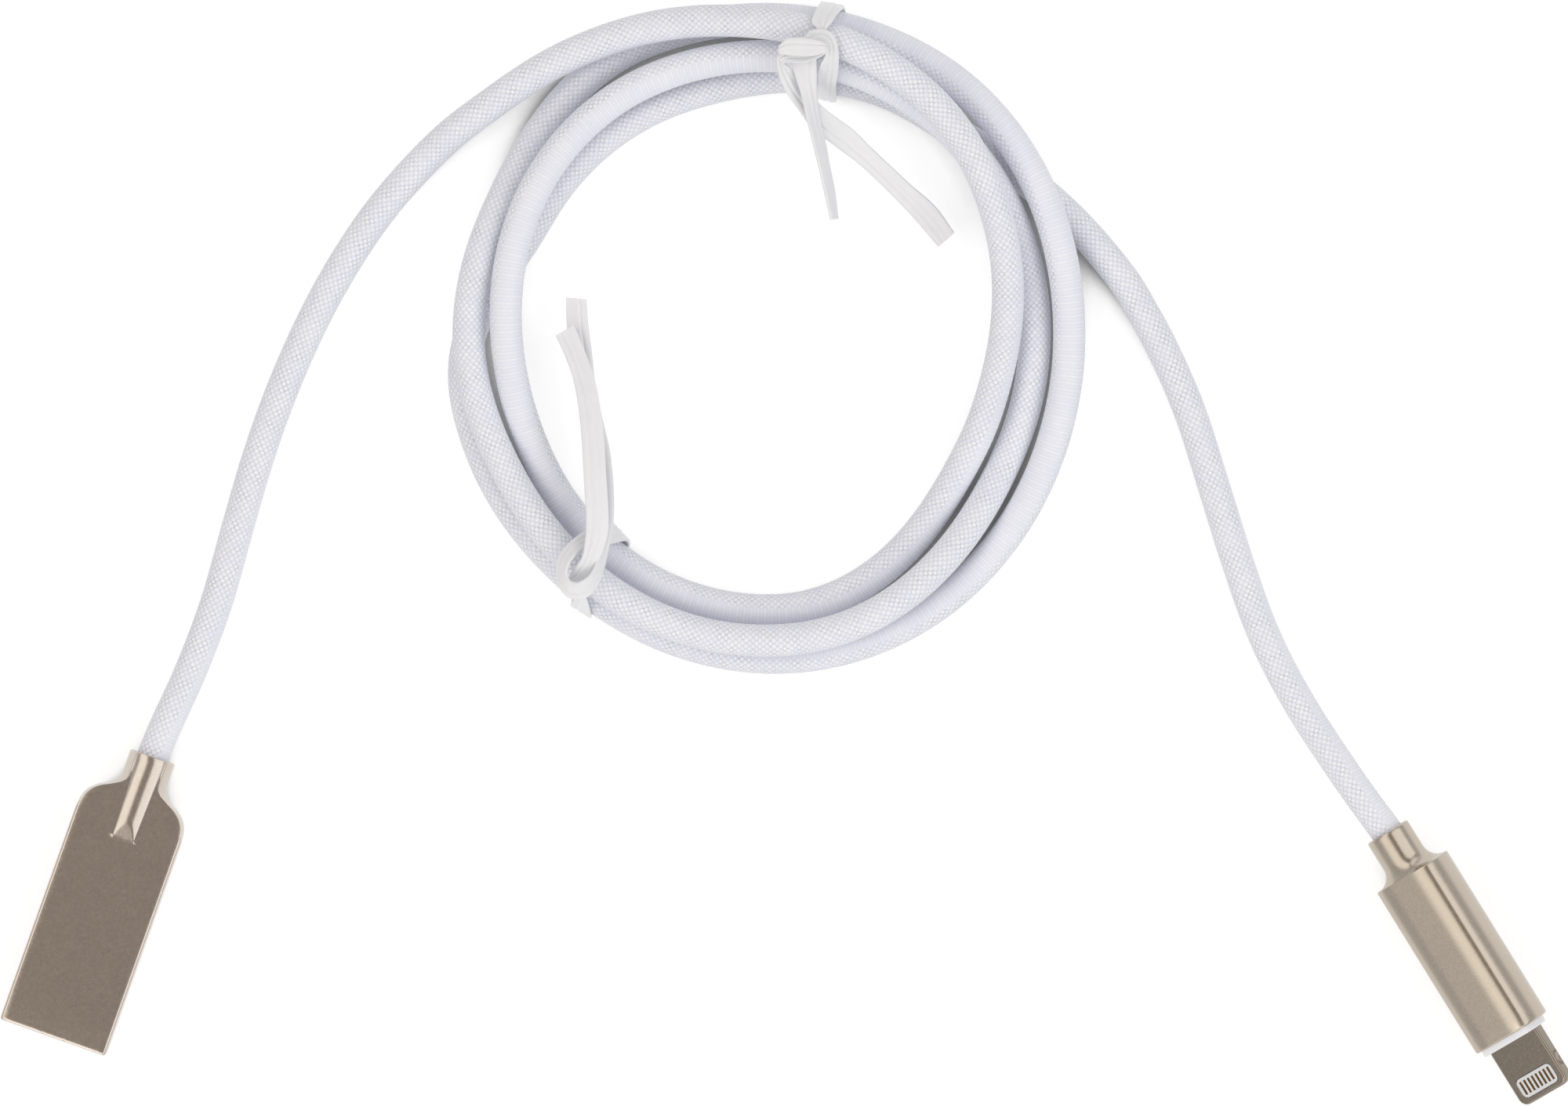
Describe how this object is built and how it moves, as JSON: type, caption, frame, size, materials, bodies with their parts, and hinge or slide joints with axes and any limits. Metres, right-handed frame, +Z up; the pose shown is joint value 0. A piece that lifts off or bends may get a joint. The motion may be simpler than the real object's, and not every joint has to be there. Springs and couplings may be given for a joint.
{
  "type": "charging cable",
  "caption": "Braided charging cable with a flat metal charger plug and a metal barrel plug with a reversible tab, coiled and held by twist ties.",
  "frame": {"origin": "on the surface that the cable lies on, under the middle of the box round the two plugs", "axes": "+X from the charger plug towards the phone plug, +Y from the plugs towards the coil, +Z up from the surface"},
  "size_m": [0.1691, 0.1188, 0.0146],
  "materials": {
    "plug_metal": "satin die-cast, finely mottled",
    "barrel_metal": "satin, faintly brushed along its length",
    "tab_metal": "fine blasted",
    "tongue_plastic": "moulded",
    "collar_plastic": "moulded",
    "window_plastic": "moulded",
    "contact_gold": "plated",
    "solder": "dull tin",
    "crimp_brass": "bare",
    "filler_glue": "cast",
    "wire_red": "extruded",
    "wire_black": "extruded",
    "wire_green": "extruded",
    "wire_white": "extruded",
    "cord_braid": "round woven braid",
    "board_laminate": "lacquered",
    "chip_package": "moulded",
    "capacitor_body": "fired",
    "tie_plastic": "extruded, ribbed along its length",
    "tie_steel": "drawn"
  },
  "bodies": {
    "root": {"charger_plug_shell": "plug_metal", "charger_plug_tongue": "tongue_plastic", "charger_plug_contacts": "contact_gold", "charger_plug_solder": "solder", "charger_plug_crimp": "crimp_brass", "charger_plug_filler": "filler_glue", "charger_power_wire": "wire_red", "charger_ground_wire": "wire_black", "charger_data_plus_wire": "wire_green", "charger_data_minus_wire": "wire_white", "charger_lead": "cord_braid", "cord_coil": "cord_braid", "phone_lead": "cord_braid", "phone_plug_barrel": "barrel_metal", "phone_plug_collar": "collar_plastic", "phone_plug_tab": "tab_metal", "phone_plug_windows": "window_plastic", "phone_plug_front_contacts": "contact_gold", "phone_plug_back_contacts": "contact_gold", "phone_plug_board": "board_laminate", "phone_plug_chip": "chip_package", "phone_plug_capacitors": "capacitor_body", "phone_plug_solder": "solder", "phone_plug_crimp": "crimp_brass", "phone_plug_filler": "filler_glue", "phone_power_wire": "wire_red", "phone_ground_wire": "wire_black", "phone_data_plus_wire": "wire_green", "phone_data_minus_wire": "wire_white", "top_tie": "tie_plastic", "top_tie_wire": "tie_steel", "bottom_tie": "tie_plastic", "bottom_tie_wire": "tie_steel"}
  },
  "joints": []
}
